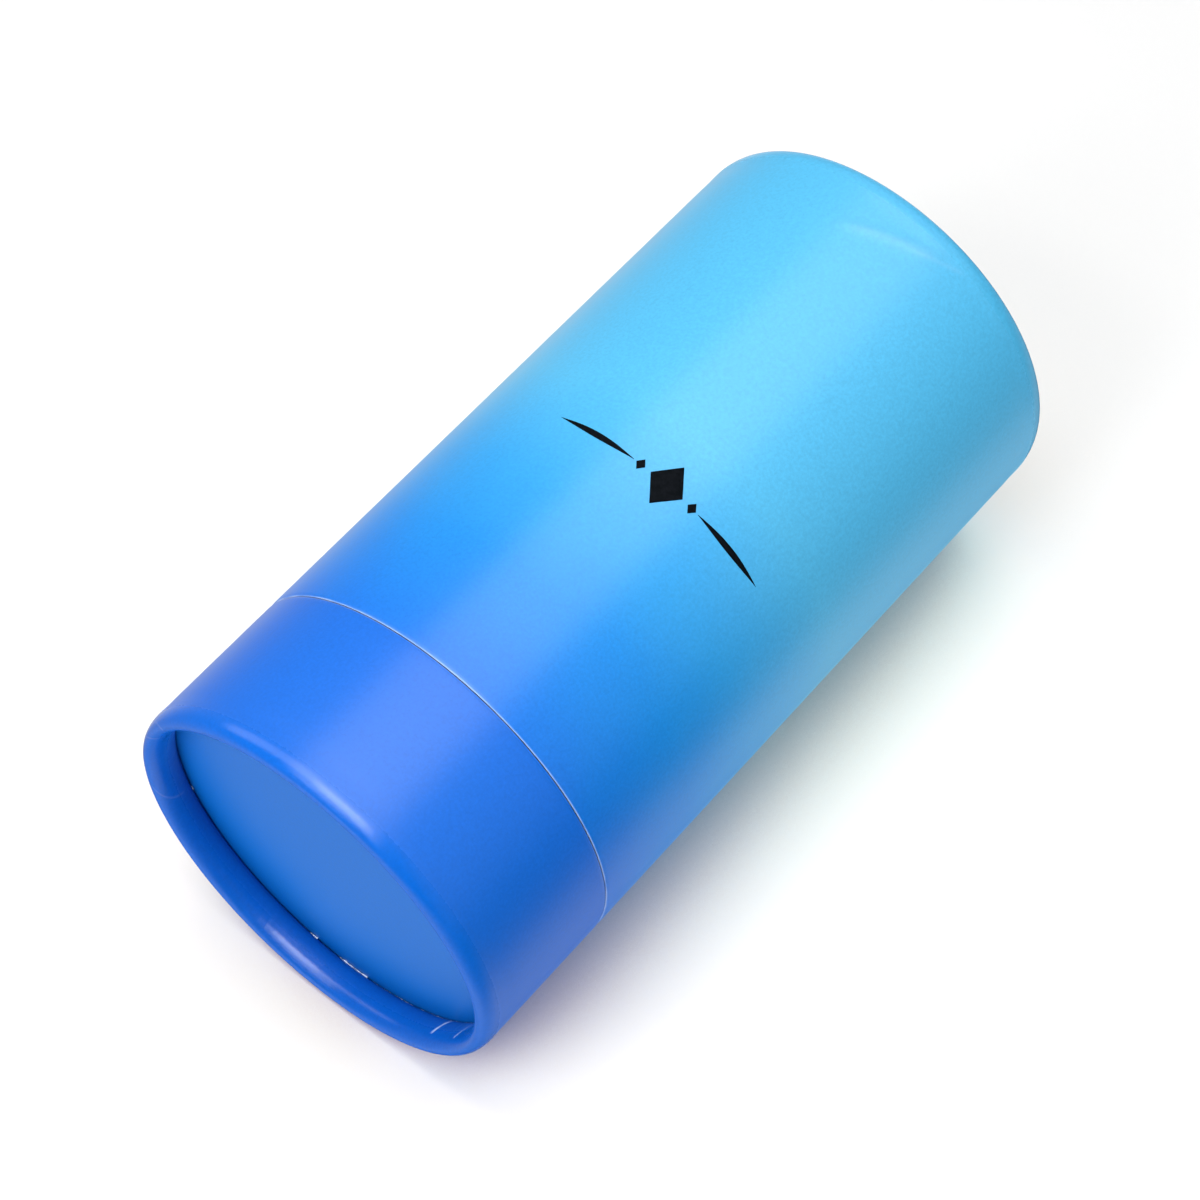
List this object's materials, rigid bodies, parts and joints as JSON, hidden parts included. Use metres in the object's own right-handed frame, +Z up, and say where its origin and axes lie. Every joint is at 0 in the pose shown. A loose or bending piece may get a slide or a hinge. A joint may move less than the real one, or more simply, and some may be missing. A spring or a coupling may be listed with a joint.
{
  "type": "cylindrical gift tube box",
  "caption": "Cylindrical paper gift tube box with rolled rims, recessed end discs, a short base with a glued-in neck and a long lift-off lid.",
  "frame": {"origin": "centre of the rolled rim that the box stands on, in the plane of the surface it stands on", "axes": "+Z up along the tube's axis from the base to the lid; X and Y across it, with the front of the lid facing -Y"},
  "size_m": [0.0702, 0.0702, 0.141],
  "materials": {
    "wound_board": "raw light grey board, ply edges showing on the cut ends",
    "printed_paper_base": "printed paper under a satin matt film, plain blue",
    "printed_paper_lid": "printed paper under a satin matt film, blue fading to light cyan towards the top",
    "neck_paper": "smooth white coated paper",
    "white_paper": "uncoated white paper"
  },
  "bodies": {
    "base": {"base_shell": "wound_board", "base_wrap": "printed_paper_base", "base_lining": "white_paper", "base_disc_face": "printed_paper_base", "base_disc": "wound_board", "base_floor_paper": "white_paper", "neck_wrap": "neck_paper", "neck_tube": "wound_board", "neck_lining": "white_paper"},
    "lid": {"lid_shell": "wound_board", "lid_wrap": "printed_paper_lid", "lid_lining": "white_paper", "lid_disc_face": "printed_paper_lid", "lid_disc": "wound_board", "lid_ceiling_paper": "white_paper"}
  },
  "joints": [
    {"name": "lid_lift", "type": "slide", "parent": "base", "child": "lid", "axis": [0, 0, 1], "range_m": [0, 0.13]}
  ]
}
